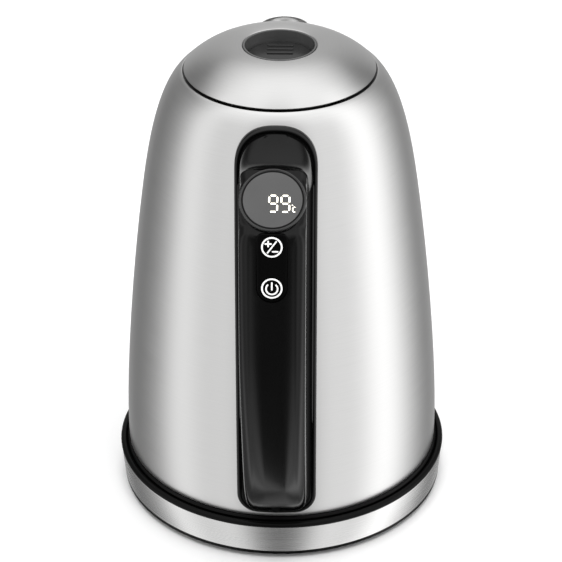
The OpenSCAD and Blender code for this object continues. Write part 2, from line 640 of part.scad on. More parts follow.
// The room that the mouth's rim takes in the lid's body when the lid is open
module rim_sweep() across(32) intersection() {
    translate([hinge_y, hinge_z]) circle(r = norm([mouth_r + hinge_y, mouth_z - hinge_z]) + 0.5);
    translate([hinge_y - 20, lid_floor_z + 2]) square(40);
}
module lid_inner_body() color("#222226") {
    wall_top = radius_at([for (p = flip(inset(dome, lid_t + fit_gap))) [p[1], p[0]]], lid_body_r) - 0.1;
    difference() {
        union() {
            translate([0, 0, lid_floor_z]) cylinder(r = lid_body_r, h = 2);
            difference() {
                translate([0, 0, lid_floor_z]) tube(lid_body_r, lid_body_r - 2, wall_top - lid_floor_z - 0.6);
                rim_sweep();
            }
            translate([0, 0, lid_floor_z]) tube(7, 5.4, 6);
            for (x = [-bolt_w / 2 - 1.8, bolt_w / 2 + 0.3])
                translate([x, 8.5, lid_floor_z]) cube([1.5, lid_body_r - 10, 5]);
        }
        translate([-bolt_w / 2 - 0.3, 5.9, bolt_z - 0.3]) cube([bolt_w + 0.6, 40, bolt_t + 0.6]);
        translate([0, 0, lid_floor_z + 0.8]) cylinder(r = 3.6, h = 3);
    }
    // Goose-neck arms to the hinge
    for (side = [-1, 1]) difference() {
        translate([side * arm_x, 0, 0]) across(arm_w) union() {
            translate([hinge_y, hinge_z]) circle(r = hinge_barrel_r);
            translate([hinge_y, hinge_z - hinge_barrel_r]) square([-lid_body_r + 1 - hinge_y, 4.6]);
            translate([-lid_body_r, hinge_z - hinge_barrel_r]) square([3, hinge_barrel_r + 2]);
        }
        translate([0, hinge_y, hinge_z]) rotate([0, 90, 0])
            cylinder(r = hinge_pin_r + 0.06, h = 60, center = true);
    }
}
module lid_seal() color("#d8d8d2") translate([0, 0, lid_floor_z - seal_t]) difference() {
    tube(lid_body_r, lid_body_r - 3, seal_t - fit_gap);
    translate([-arm_x - arm_w / 2 - 0.5, -mouth_r, -1])
        cube([2 * arm_x + arm_w + 1, mouth_r - lid_body_r + 3.2, 6]);
}
module lid_dish() color("#5a5a5c") difference() {
    union() {
        translate([0, 0, dish_floor_z - 6]) cylinder(r = dish_r - fit_gap, h = dish_depth + 6.2);
        translate([0, 0, dish_floor_z - 6]) cylinder(r = dish_r + 2, h = 1.4);
    }
    translate([0, 0, dish_floor_z - 7]) cylinder(r = dish_r - 1, h = dish_depth + 12);
}
module lid_button() color("#2c2c2e") difference() {
    union() {
        translate([0, 0, dish_floor_z - button_t]) cylinder(r = dish_r - 1 - run_gap, h = button_t);
        translate([0, 0, dish_floor_z - 7.4]) cylinder(r = 2, h = 6);
        for (y = [2, 6, 10]) translate([-6, y - 0.5, dish_floor_z - eps]) cube([12, 1, 0.6]);
        translate([-2, 9, dish_floor_z - 6]) cube([4, 4, 5]);
    }
    translate([0, 0, dish_floor_z - 8]) cylinder(r = 1, h = 5);
}
module button_spring() color("#9a9a9c") translate([0, 0, lid_floor_z + 2.6])
    coil(3, 0.35, (dish_floor_z - button_t - lid_floor_z - 3.4) / 5, 5);
module latch_bolt() color("#8f8f90") {
    translate([-bolt_w / 2, 9, bolt_z]) cube([bolt_w, bolt_tip_y - 9 - 2, bolt_t]);
    translate([-bolt_w / 2, bolt_tip_y - 2 - eps, bolt_z + 1]) cube([bolt_w, 2, bolt_t - 1]);
}
module latch_spring() color("#9a9a9c") translate([0, 6.2, bolt_z + bolt_t / 2]) rotate([-90, 0, 0])
    coil(0.9, 0.2, 0.62, 4);
module hinge_pin() color("#b0b0b0") translate([0, hinge_y, hinge_z]) rotate([0, 90, 0])
    cylinder(r = hinge_pin_r - 0.01, h = 2 * pin_half, center = true);
module hinge_spring() color("#9a9a9c")
    translate([-arm_x + arm_w / 2 + 0.5, hinge_y, hinge_z]) rotate([0, 90, 0])
    coil(hinge_pin_r + 0.75, 0.35, 0.95, 5);

// ---------- one line for each node ----------
base_bottom_plate();
base_top_cover();
base_trim_band();
base_feet();
base_screws();
base_connector();
connector_pin();
contact_rings();
cord_outlet();
socket_ring();
body_shell();
spout_beak();
spout_filter_frame();
spout_filter_mesh();
mouth_collar();
floor_plate();
heat_spreader();
heating_element();
element_terminals();
thermal_cutouts();
temperature_probe();
jug_connector();
socket_contacts();
bottom_cover();
bottom_seal();
bottom_screws();
handle_plate();
handle_inner_shell();
handle_outer_cover();
handle_screws();
handle_cable();
display_bezel();
display_lens();
display_board();
display_digits();
key_panel();
control_board();
key_switches();
temperature_key();
power_key();
lid_cover();
lid_inner_body();
lid_seal();
lid_dish();
hinge_pin();
hinge_spring();
lid_button();
button_spring();
latch_bolt();
latch_spring();
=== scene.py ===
import json
import math

import bmesh
import bpy
from mathutils import Matrix, Vector

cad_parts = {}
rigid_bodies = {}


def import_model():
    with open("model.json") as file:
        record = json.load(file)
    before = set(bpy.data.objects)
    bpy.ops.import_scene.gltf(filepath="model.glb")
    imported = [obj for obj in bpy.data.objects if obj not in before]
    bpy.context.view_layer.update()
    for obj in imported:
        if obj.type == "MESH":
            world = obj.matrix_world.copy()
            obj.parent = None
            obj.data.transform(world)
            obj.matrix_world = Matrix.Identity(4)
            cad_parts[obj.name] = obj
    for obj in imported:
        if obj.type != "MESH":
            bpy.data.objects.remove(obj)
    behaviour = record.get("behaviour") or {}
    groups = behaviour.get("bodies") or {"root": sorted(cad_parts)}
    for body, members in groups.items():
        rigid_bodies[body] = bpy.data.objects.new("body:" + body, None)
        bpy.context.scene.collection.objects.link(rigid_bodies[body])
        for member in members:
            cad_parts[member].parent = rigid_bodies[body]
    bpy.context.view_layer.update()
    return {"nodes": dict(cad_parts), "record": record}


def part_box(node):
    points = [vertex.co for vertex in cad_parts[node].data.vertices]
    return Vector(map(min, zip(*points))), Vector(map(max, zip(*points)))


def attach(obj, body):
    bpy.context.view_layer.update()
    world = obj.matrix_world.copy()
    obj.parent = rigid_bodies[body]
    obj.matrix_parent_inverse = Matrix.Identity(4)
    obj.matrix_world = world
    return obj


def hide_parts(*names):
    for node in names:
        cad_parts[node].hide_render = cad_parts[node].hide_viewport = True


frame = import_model()
MM = 0.001

# ---------- levels of the kettle, in millimetres ----------


def low(node):
    """Lowest height of a node."""
    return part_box(node)[0].z / MM


def high(node):
    """Highest point of a node."""
    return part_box(node)[1].z / MM


# Base and jug: the wall's lower radius, its narrower radius at the shoulder, and the mouth
WALL_FOOT = low("body_shell")
MOUTH = high("body_shell")
BAND_LOW, BAND_TOP = low("base_trim_band"), high("base_trim_band")
LIP_TOP = BAND_TOP + 2.4
BASE_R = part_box("base_trim_band")[1].x / MM
JUG_R = BASE_R - 4.2
SEAT_R = JUG_R + 1.5
SHOULDER = MOUTH - 63.3
SHOULDER_R = JUG_R - 10.3
MOUTH_R = 44.7
STEEL = 0.8
# Spout: how far it stands out from the mouth, its tip, and the hole behind it
SPOUT_OUT, SPOUT_TIP_R = 32.3, 12
SPOUT_HOLE_R, SPOUT_HOLE_DROP = 14, 26.5
# Handle: half widths, the plate's ends, and the grip's furthest point from the axis
GRIP_HALF = 14.2
PLATE_HALF = 18.3
PLATE_LOW, PLATE_HIGH = WALL_FOOT + 3.3, MOUTH - 4
GRIP_REACH = JUG_R + 41
GRIP_MID = WALL_FOOT + 106.3
# Display and key panel: distance from the axis, height, and tilt in degrees
DISC_S, DISC_Z, DISC_TILT = GRIP_REACH - 20.8, GRIP_MID + 72.6, 39
PANEL_S, PANEL_Z, PANEL_TILT = GRIP_REACH - 6.4, GRIP_MID + 48, 79
RING_R, LENS_R = 14.25, 13.1
# Lid
LID_R, LID_EDGE = MOUTH_R - 1.2, MOUTH + 1.2
DOME_TOP = LID_EDGE + 10.6
DISH_R, DISH_FLOOR = 16.7, DOME_TOP - 5.3
# Small pieces
KEY_PITCH, KEY_R, KEY_TOP = 18.3, 5.0, 0.25
PANEL_HALF = 6.6
PANEL_LOW, PANEL_HIGH = -KEY_PITCH / 2 - KEY_R - 1.25, KEY_PITCH / 2 + KEY_R + 0.65
TURRET_HOLE_R, OUTLET_R, CORD_HOLE_R = 15.1, 5.2, 3.6
FOOT_R, FOOT_COUNT, FIRST_FOOT = 7.0, 3, -133
LYING = Matrix.Rotation(-math.pi / 2, 4, "X")  # turns what stands on +Z to point to +Y

# ---------- outlines ----------


def bezier(a, b, c, d, n):
    """n + 1 points along a cubic curve."""
    out = []
    for i in range(n + 1):
        t = i / n
        k = ((1 - t) ** 3, 3 * (1 - t) ** 2 * t, 3 * (1 - t) * t * t, t ** 3)
        out.append(tuple(k[0] * a[j] + k[1] * b[j] + k[2] * c[j] + k[3] * d[j] for j in (0, 1)))
    return out


def shifted(line, d):
    """The line moved inward by d, square to its own direction."""
    out = []
    for i, (r, z) in enumerate(line):
        a, b = line[max(i - 1, 0)], line[min(i + 1, len(line) - 1)]
        tr, tz = b[0] - a[0], b[1] - a[1]
        size = math.hypot(tr, tz)
        out.append((r - d * tz / size, z + d * tr / size))
    return out


def soften(points, steps=4):
    """A closed outline whose points (r, z, radius) get rounded corners; points (r, z) stay sharp."""
    out = []
    n = len(points)
    for i, p in enumerate(points):
        if len(p) < 3:
            out.append(tuple(p))
            continue
        here = Vector(p[:2])
        a, b = Vector(points[i - 1][:2]) - here, Vector(points[(i + 1) % n][:2]) - here
        start = here + a.normalized() * min(p[2], a.length * 0.48)
        end = here + b.normalized() * min(p[2], b.length * 0.48)
        for k in range(steps + 1):
            t = k / steps
            q = start * (1 - t) ** 2 + here * 2 * t * (1 - t) + end * t * t
            out.append((q.x, q.y))
    return out


def wall_line(flank_steps=40, shoulder_steps=56):
    """The steel wall's outside, from its foot to the mouth."""
    wall_h = SHOULDER - WALL_FOOT
    flank = bezier((JUG_R, WALL_FOOT), (JUG_R + 1.2, WALL_FOOT + 0.18 * wall_h),
                   (SHOULDER_R + 6.7, SHOULDER - 0.36 * wall_h), (SHOULDER_R, SHOULDER), flank_steps)
    shoulder = bezier((SHOULDER_R, SHOULDER), (SHOULDER_R - 4, SHOULDER + 30),
                      (MOUTH_R + 10.3, MOUTH - 8.4), (MOUTH_R, MOUTH), shoulder_steps)
    return flank + shoulder[1:]


def radius_on(line, z):
    """The line's radius at a height."""
    for (r0, z0), (r1, z1) in zip(line, line[1:]):
        if z0 <= z <= z1:
            return r0 + (r1 - r0) * (z - z0) / max(z1 - z0, 1e-9)
    return line[0][0] if z < line[0][1] else line[-1][0]


# ---------- mesh making ----------


def new_mesh(name, points, faces):
    """A mesh from points in millimetres."""
    mesh = bpy.data.meshes.new(name)
    mesh.from_pydata([tuple(c * MM for c in p) for p in points], [], faces)
    bm = bmesh.new()
    bm.from_mesh(mesh)
    bmesh.ops.remove_doubles(bm, verts=bm.verts, dist=1e-7)
    bmesh.ops.recalc_face_normals(bm, faces=bm.faces)
    bm.to_mesh(mesh)
    bm.free()
    return mesh


def turned(name, outline, sides=192):
    """A mesh turned about the Z axis from a closed outline of (radius, height)."""
    points, faces, n = [], [], len(outline)
    for k in range(sides):
        a = 2 * math.pi * k / sides
        points += [(r * math.cos(a), r * math.sin(a), z) for r, z in outline]
    for k in range(sides):
        m = (k + 1) % sides
        for i in range(n):
            j = (i + 1) % n
            if outline[i][0] < 1e-6 and outline[j][0] < 1e-6:
                continue
            quad = [k * n + i, m * n + i, m * n + j, k * n + j]
            if outline[i][0] < 1e-6:
                quad.pop(1)
            elif outline[j][0] < 1e-6:
                quad.pop(2)
            faces.append(quad)
    return new_mesh(name, points, faces)


def stacked(name, rings):
    """A closed mesh through rings of as many points each, capped at both ends."""
    n = len(rings[0])
    points = [p for ring in rings for p in ring]
    faces = [list(range(n))[::-1], [(len(rings) - 1) * n + i for i in range(n)]]
    for k in range(len(rings) - 1):
        for i in range(n):
            j = (i + 1) % n
            faces.append([k * n + i, k * n + j, (k + 1) * n + j, (k + 1) * n + i])
    return new_mesh(name, points, faces)


def slab(name, outline, bottom, top, edge=0.0, steps=3):
    """A flat slab with a rounded upper edge, from a closed outline of (x, y)."""
    def level(inset, z):
        out = []
        n = len(outline)
        for i, (x, y) in enumerate(outline):
            a, b = outline[i - 1], outline[(i + 1) % n]
            tx, ty = b[0] - a[0], b[1] - a[1]
            size = max(math.hypot(tx, ty), 1e-9)
            out.append((x - inset * ty / size, y + inset * tx / size, z))
        return out
    rings = [level(0, bottom)]
    for k in range(steps + 1 if edge else 1):
        a = math.pi / 2 * k / steps if edge else 0
        rings.append(level(edge * (1 - math.cos(a)), top - edge * (1 - math.sin(a)) if edge else top))
    return stacked(name, rings)


def moved(mesh, matrix):
    """The same mesh, put elsewhere."""
    mesh.transform(matrix)
    return mesh


def joined(name, meshes):
    """One mesh from several."""
    bm = bmesh.new()
    for mesh in meshes:
        bm.from_mesh(mesh)
    out = bpy.data.meshes.new(name)
    bm.to_mesh(out)
    bm.free()
    return out


def carved(mesh, *cutters):
    """The mesh with the cutters taken away."""
    scene = bpy.context.scene.collection.objects
    work = bpy.data.objects.new("carving", mesh)
    scene.link(work)
    tools = []
    for cutter in cutters:
        tool = bpy.data.objects.new("cutter", cutter)
        scene.link(tool)
        tools.append(tool)
        step = work.modifiers.new("cut", "BOOLEAN")
        step.operation, step.solver, step.object = "DIFFERENCE", "EXACT", tool
    bpy.context.view_layer.update()
    out = bpy.data.meshes.new_from_object(work.evaluated_get(bpy.context.evaluated_depsgraph_get()))
    for o in [work] + tools:
        bpy.data.objects.remove(o)
    return out


def place(mesh, name, body, slot, material, *nodes, smooth=32):
    """Puts a finished mesh in the scene as a piece that rides on a body."""
    mesh.materials.clear()
    mesh.materials.append(material)
    mesh.shade_smooth()
    mesh.set_sharp_from_angle(angle=math.radians(smooth))
    mesh.name = name
    obj = bpy.data.objects.new(name, mesh)
    bpy.context.scene.collection.objects.link(obj)
    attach(obj, body)
    if nodes:
        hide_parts(*nodes)
    return obj


# ---------- shader groups ----------


def group_with(name, inputs, outputs):
    """A node group with named float or vector sockets, and its two end nodes."""
    group = bpy.data.node_groups.new(name, "ShaderNodeTree")
    for label, kind, value in inputs:
        socket = group.interface.new_socket(label, in_out="INPUT", socket_type="NodeSocket" + kind)
        if value is not None:
            socket.default_value = value
    for label, kind in outputs:
        group.interface.new_socket(label, in_out="OUTPUT", socket_type="NodeSocket" + kind)
    return group, group.nodes.new("NodeGroupInput"), group.nodes.new("NodeGroupOutput")


def math_node(tree, operation, a, b=None):
    """The outcome of one sum; a and b are numbers or outputs."""
    node = tree.nodes.new("ShaderNodeMath")
    node.operation = operation
    for socket, value in zip(node.inputs, (a, b)):
        if value is None:
            continue
        if isinstance(value, (int, float)):
            socket.default_value = value
        else:
            tree.links.new(value, socket)
    return node.outputs[0]


def noise_node(tree, vector, scale, detail=2.0, rough=0.5):
    """Soft noise from 0 to 1 at a place."""
    node = tree.nodes.new("ShaderNodeTexNoise")
    tree.links.new(vector, node.inputs["Vector"])
    for label, value in (("Scale", scale), ("Detail", detail), ("Roughness", rough)):
        if isinstance(value, (int, float)):
            node.inputs[label].default_value = value
        else:
            tree.links.new(value, node.inputs[label])
    return node.outputs["Fac"]


def ranged(tree, value, low_out, high_out, low_in=0.3, high_in=0.7):
    """The value spread from one range of numbers to another."""
    node = tree.nodes.new("ShaderNodeMapRange")
    tree.links.new(value, node.inputs["Value"])
    ends = {"From Min": low_in, "From Max": high_in, "To Min": low_out, "To Max": high_out}
    for label, end in ends.items():
        node.inputs[label].default_value = end
    return node.outputs["Result"]


def make_brushing():
    """Fine scratches that run round the kettle's axis."""
    group, inlet, outlet = group_with(
        "Brushing", [("Position", "Vector", None), ("Around", "Float", 5.0), ("Across", "Float", 2600.0)],
        [("Streaks", "Float"), ("Height", "Float")])
    split = group.nodes.new("ShaderNodeSeparateXYZ")
    group.links.new(inlet.outputs["Position"], split.inputs[0])
    x, y, z = split.outputs
    angle = math_node(group, "ARCTAN2", y, x)
    radius = math_node(group, "SQRT", math_node(group, "ADD", math_node(group, "MULTIPLY", x, x),
                                                math_node(group, "MULTIPLY", y, y)))
    combine = group.nodes.new("ShaderNodeCombineXYZ")
    group.links.new(math_node(group, "MULTIPLY", angle, inlet.outputs["Around"]), combine.inputs[0])
    group.links.new(math_node(group, "MULTIPLY", radius, inlet.outputs["Across"]), combine.inputs[1])
    group.links.new(math_node(group, "MULTIPLY", z, inlet.outputs["Across"]), combine.inputs[2])
    fine = noise_node(group, combine.outputs[0], 1.0, 3.0, 0.6)
    group.links.new(fine, outlet.inputs["Height"])
    group.links.new(ranged(group, fine, 0.0, 1.0), outlet.inputs["Streaks"])
    return group


def make_handling():
    """Soft uneven patches, as hands and cloths leave them."""
    group, inlet, outlet = group_with(
        "Handling", [("Position", "Vector", None), ("Scale", "Float", 30.0)], [("Patches", "Float")])
    patches = noise_node(group, inlet.outputs["Position"], inlet.outputs["Scale"], 4.0, 0.55)
    group.links.new(ranged(group, patches, 0.0, 1.0), outlet.inputs["Patches"])
    return group


def make_moulding():
    """The fine texture of a moulded surface."""
    group, inlet, outlet = group_with(
        "Moulding", [("Position", "Vector", None), ("Scale", "Float", 2500.0)], [("Height", "Float")])
    grain = noise_node(group, inlet.outputs["Position"], inlet.outputs["Scale"], 2.0, 0.5)
    group.links.new(grain, outlet.inputs["Height"])
    return group


BRUSHING, HANDLING, MOULDING = make_brushing(), make_handling(), make_moulding()


# ---------- materials ----------


class Finish:
    """One material and the few steps that fill it."""

    def __init__(self, name, colour, rough, metallic=0.0, **sockets):
        self.material = bpy.data.materials.new(name)
        self.material.use_nodes = True
        self.tree = self.material.node_tree
        self.shader = self.tree.nodes["Principled BSDF"]
        self.position = self.tree.nodes.new("ShaderNodeTexCoord").outputs["Object"]
        self.set("Base Color", (*colour, 1.0))
        self.set("Roughness", rough)
        self.set("Metallic", metallic)
        for label, value in sockets.items():
            self.set(label.replace("_", " "), value)

    def set(self, label, value):
        """Gives one of the shader's inputs a constant."""
        self.shader.inputs[label].default_value = value

    def group(self, group, **values):
        """Adds an effect group and returns its outputs."""
        node = self.tree.nodes.new("ShaderNodeGroup")
        node.node_tree = group
        self.tree.links.new(self.position, node.inputs["Position"])
        for label, value in values.items():
            node.inputs[label].default_value = value
        return node.outputs

    def tint(self, mask, dark, light):
        """Lets the colour go from dark to light with the mask."""
        mix = self.tree.nodes.new("ShaderNodeMix")
        mix.data_type = "RGBA"
        mix.inputs["A"].default_value, mix.inputs["B"].default_value = (*dark, 1.0), (*light, 1.0)
        self.tree.links.new(mask, mix.inputs["Factor"])
        self.tree.links.new(mix.outputs["Result"], self.shader.inputs["Base Color"])

    def roughness(self, mask, least, most):
        """Lets the roughness go from least to most with the mask."""
        self.tree.links.new(ranged(self.tree, mask, least, most, 0.0, 1.0), self.shader.inputs["Roughness"])

    def relief(self, height, strength, distance):
        """Fine relief from a height."""
        bump = self.tree.nodes.new("ShaderNodeBump")
        bump.inputs["Strength"].default_value = strength
        bump.inputs["Distance"].default_value = distance
        self.tree.links.new(height, bump.inputs["Height"])
        self.tree.links.new(bump.outputs["Normal"], self.shader.inputs["Normal"])


def grey(v):
    """A colour with all three parts alike."""
    return (v, v, v)


GRAIN_DEPTH = 0.00002
DULL_STREAK, BRIGHT_STREAK = (0.975, 0.972, 0.965), (1.02, 1.018, 1.012)


def brushed(name, level, rough, depth, around, anisotropy, turn=0.0):
    """Steel brushed round the kettle's axis."""
    finish = Finish(name, grey(level), rough, 1.0, Anisotropic=anisotropy, Anisotropic_Rotation=turn)
    streaks = finish.group(BRUSHING, Around=around)
    finish.tint(streaks["Streaks"], [level * c for c in DULL_STREAK], [level * c for c in BRIGHT_STREAK])
    finish.roughness(streaks["Streaks"], rough - 0.025, rough + 0.03)
    finish.relief(streaks["Height"], depth, GRAIN_DEPTH)
    tangent = finish.tree.nodes.new("ShaderNodeTangent")
    tangent.direction_type, tangent.axis = "RADIAL", "Z"
    finish.tree.links.new(tangent.outputs[0], finish.shader.inputs["Tangent"])
    return finish.material


def moulded(name, level, rough, grain, spread=0.05, tint=(1, 1, 1), **sockets):
    """Moulded plastic or rubber, a little uneven from handling."""
    finish = Finish(name, [level * t for t in tint], rough, 0.0, **sockets)
    patches = finish.group(HANDLING, Scale=24.0)
    finish.tint(patches["Patches"], [level * 0.88 * t for t in tint], [level * 1.12 * t for t in tint])
    finish.roughness(patches["Patches"], max(rough - spread, 0.02), rough + spread)
    finish.relief(finish.group(MOULDING, Scale=2600.0)["Height"], grain, GRAIN_DEPTH)
    return finish.material


def metal(name, colour, rough, grain=0.15):
    """Plain metal, as on the screws and the contacts."""
    finish = Finish(name, colour, rough, 1.0)
    patches = finish.group(HANDLING, Scale=60.0)
    finish.roughness(patches["Patches"], rough - 0.06, rough + 0.08)
    finish.tint(patches["Patches"], [c * 0.93 for c in colour], colour)
    finish.relief(finish.group(MOULDING, Scale=1500.0)["Height"], grain, GRAIN_DEPTH)
    return finish.material


def glowing(name, colour, strength):
    """A mark that gives light: the display's lit digits, and the white print on the keys, whose glow is
    painted light.
    """
    finish = Finish(name, grey(0.8), 0.4)
    finish.set("Emission Color", (*colour, 1.0))
    finish.set("Emission Strength", strength)
    patches = finish.group(HANDLING, Scale=900.0)
    finish.tint(patches["Patches"], grey(0.75), grey(0.85))
    return finish.material


STEEL_WALL = brushed("body steel", 0.66, 0.30, 0.08, around=3.0, anisotropy=0.5)
STEEL_LID = brushed("lid steel", 0.64, 0.30, 0.05, around=3.0, anisotropy=0.8, turn=0.25)
STEEL_BAND = brushed("band steel", 0.66, 0.26, 0.03, around=2.0, anisotropy=0.5)
STEEL_INSIDE = metal("plain steel", grey(0.55), 0.36)
GLOSS = moulded("gloss black plastic", 0.0022, 0.13, 0.04, 0.02, Specular_IOR_Level=0.2)
GLOSS_PLATE = moulded("gloss black backing plate", 0.0022, 0.08, 0.03, 0.02, Specular_IOR_Level=0.3)
PANEL_BLACK = moulded("key panel black", 0.0012, 0.22, 0.0, 0.03, Specular_IOR_Level=0.12)
BASE_BLACK = moulded("base black plastic", 0.0022, 0.30, 0.2, Specular_IOR_Level=0.10)
INNER_PLASTIC = moulded("inner plastic", 0.035, 0.42, 0.5)
SMOKE = moulded("smoky plastic", 0.075, 0.16, 0.05, 0.03)
SMOKE_FLOOR = moulded("smoky button", 0.022, 0.24, 0.08, 0.03, Specular_IOR_Level=0.35)
LENS_GREY = moulded("display lens", 0.070, 0.20, 0.0, 0.02, Specular_IOR_Level=0.35)
RING_BLACK = moulded("display ring", 0.022, 0.20, 0.05, 0.02)
# The printed white symbols get a faint emission: a painted glow on the print, which gives no light of its
# own.
PRINT_WHITE_PAINTED_GLOW = glowing("white symbols with painted glow", (1.0, 1.0, 0.98), 0.3)
DIGIT_LIGHT = glowing("lit digits", (1.0, 0.93, 0.74), 2.6)
RUBBER = moulded("rubber", 0.018, 0.75, 0.6, 0.08)
SILICONE = moulded("silicone", 0.55, 0.5, 0.2, 0.06)
BRASS = metal("brass", (0.72, 0.52, 0.22), 0.28)
ALUMINIUM = metal("cast aluminium", grey(0.6), 0.45, 0.4)
SCREW = metal("screw steel", grey(0.5), 0.3)
BOARD = moulded("circuit board", 0.05, 0.4, 0.1, tint=(0.35, 1.0, 0.5))
BLACKENED = ("handle_screws", "handle_cable")

BY_SLOT = {
    "brushed_body_steel": STEEL_WALL, "band_steel": STEEL_BAND, "inner_steel": STEEL_INSIDE,
    "gloss_black": GLOSS, "base_black": BASE_BLACK, "inner_plastic": INNER_PLASTIC,
    "smoked_plastic": SMOKE, "smoked_lens": LENS_GREY, "display_light": DIGIT_LIGHT,
    "rubber_feet": RUBBER, "silicone": SILICONE, "brass_contact": BRASS,
    "cast_aluminium": ALUMINIUM, "screw_steel": SCREW, "board": BOARD,
}


def dress_nodes():
    """Gives every CAD node the finish of its slot; the handle's screws and cable are black."""
    for part in frame["record"]["subparts"]:
        node = frame["nodes"][part["node"]]
        node.data.materials.clear()
        black = part["node"] in BLACKENED
        node.data.materials.append(BASE_BLACK if black else BY_SLOT[part["material_slot"]])


# ---------- steel jug ----------


def rod(name, radius, start, end, sides):
    """A plain rod along +Z, to cut holes with."""
    return turned(name, [(0, start), (radius, start), (radius, end), (0, end)], sides)


def make_body():
    """The steel wall, rolled at the mouth, with the pouring hole."""
    outside = wall_line()
    inside = shifted(outside, STEEL)
    rim = [(MOUTH_R - 0.02, MOUTH - 0.12), (MOUTH_R - 0.25, MOUTH + 0.02), (MOUTH_R - 0.6, MOUTH - 0.05)]
    foot = [(JUG_R - 0.65, WALL_FOOT + 0.05), (JUG_R - 0.2, WALL_FOOT)]
    outline = foot + [(JUG_R, WALL_FOOT + 0.25)] + outside[1:-1] + rim + inside[::-1]
    shell = turned("body", outline, 256)
    hole = moved(rod("pouring hole", SPOUT_HOLE_R, 20, 80, 64),
                 Matrix.Translation((0, 0, (MOUTH - SPOUT_HOLE_DROP) * MM)) @ LYING)
    place(carved(shell, hole), "body_wall", "jug", "brushed_body_steel", STEEL_WALL, "body_shell")


def jug_block(grow):
    """A solid of the whole jug, its wall grown outward."""
    line = shifted(wall_line(20, 28), -grow)
    return turned("jug block", [(0, WALL_FOOT - 20), (line[0][0], WALL_FOOT - 20)] + line
                  + [(line[-1][0], MOUTH + 8), (0, MOUTH + 8)], 192)


def beak_ring(t, shrink, sides=96):
    """One level of the spout: round at its root, a blunt V at the lip."""
    lip = ((MOUTH_R + SPOUT_OUT - SPOUT_TIP_R, SPOUT_TIP_R), (MOUTH_R - 24.7, 24))
    root_y, root_r = MOUTH_R - 14.7, 30
    ease = t ** 1.18
    z = MOUTH - 9 - 44 * (1 - t)
    ring = []
    for k in range(sides):
        a = 2 * math.pi * k / sides
        nx, ny = math.sin(a), math.cos(a)
        centre, r = max(lip, key=lambda c: c[0] * ny + c[1])
        x = (1 - ease) * root_r * nx + ease * r * nx - shrink * nx
        y = (1 - ease) * (root_y + root_r * ny) + ease * (centre + r * ny) - shrink * ny
        ring.append((x, y, z))
    return ring


def make_spout():
    """The beak, rounded along its lip, up to the steel wall."""
    levels = [k / 40 for k in range(41)]
    outer = [beak_ring(t, 0) for t in levels]
    outer.append([(x, y, z + 0.28) for x, y, z in beak_ring(1, 0.12)])
    outer.append([(x, y, z + 0.38) for x, y, z in beak_ring(1, 0.4)])
    inner = [beak_ring(t, STEEL) for t in levels]
    inner.append([(x, y, z + 4) for x, y, z in beak_ring(1, STEEL)])
    beak = carved(stacked("beak", outer), stacked("beak inside", inner), jug_block(-0.15))
    place(beak, "spout", "jug", "brushed_body_steel", STEEL_WALL, "spout_beak")


# ---------- base ----------


def make_band(outlet_bore):
    """The steel band round the base."""
    line = soften([(BASE_R - 2.0, BAND_LOW, 0.2), (BASE_R - 1.2, BAND_LOW, 0.35), (BASE_R, BAND_TOP, 0.3),
                   (BASE_R - 0.8, BAND_TOP, 0.2)])
    place(carved(turned("band", line, 256), outlet_bore), "trim_band", "power_base", "band_steel", STEEL_BAND,
          "base_trim_band")


def make_base_cover(outlet_bore):
    """The black cover that the jug stands on, with its lip above the band."""
    skin, floor = BASE_R - 0.85, BAND_TOP - 1
    line = [
        (TURRET_HOLE_R, floor - 2), (SEAT_R - 3, floor - 2, 1), (skin - 2, floor - 4, 0.6),
        (skin - 2, BAND_LOW + 0.6), (skin - 1.2, BAND_LOW + 0.6), (skin, BAND_TOP + 0.05),
        (BASE_R, BAND_TOP + 0.05, 0.15), (BASE_R + 0.3, BAND_TOP + 0.84, 0.5),
        (BASE_R - 0.1, BAND_TOP + 1.68, 0.5), (BASE_R - 1.1, LIP_TOP, 0.6),
        (SEAT_R + 0.4, LIP_TOP - 0.2, 0.4), (SEAT_R - 0.2, LIP_TOP - 1.2, 0.3),
        (SEAT_R - 3, LIP_TOP - 1.2, 0.5), (SEAT_R - 6, floor, 0.8), (TURRET_HOLE_R, floor, 0.2)]
    place(carved(turned("base cover", soften(line), 256), outlet_bore), "base_cover", "power_base",
          "base_black", BASE_BLACK, "base_top_cover")


def make_feet():
    """The rubber feet: one in the middle and the others round the base."""
    line = soften([(0, 0), (FOOT_R - 0.6, 0, 0.3), (FOOT_R, 0.8, 0.4), (FOOT_R - 0.05, 3.0), (0, 3.0)])
    feet = [turned("foot", line, 48)]
    ring_r = (BASE_R - 9.5) * MM
    for k in range(FOOT_COUNT):
        a = math.radians(FIRST_FOOT + 120 * k)
        spot = Matrix.Translation((ring_r * math.cos(a), ring_r * math.sin(a), 0))
        feet.append(moved(turned("foot", line, 48), spot))
    place(joined("feet", feet), "rubber_feet", "power_base", "rubber_feet", RUBBER, "base_feet")


def make_base():
    """The power base and the gland in its cord outlet."""
    outlet_low, outlet_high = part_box("cord_outlet")
    centre_z = (outlet_low.z + outlet_high.z) / 2
    bore = rod("outlet hole", OUTLET_R + 0.05, 60, 90, 48)
    bore = moved(bore, Matrix.Translation((0, 0, centre_z)) @ LYING)
    make_band(bore.copy())
    make_base_cover(bore)
    make_feet()
    gland = soften([(CORD_HOLE_R, 0), (OUTLET_R, 0), (OUTLET_R, 1), (OUTLET_R + 1.4, 1, 0.3),
                    (OUTLET_R + 1.4, 3, 0.3), (OUTLET_R, 3), (OUTLET_R, 12, 0.9), (CORD_HOLE_R, 12, 0.7)])
    place(moved(turned("gland", gland, 64), Matrix.Translation((0, outlet_low.y, centre_z)) @ LYING),
          "cord_gland", "power_base", "base_black", BASE_BLACK, "cord_outlet")


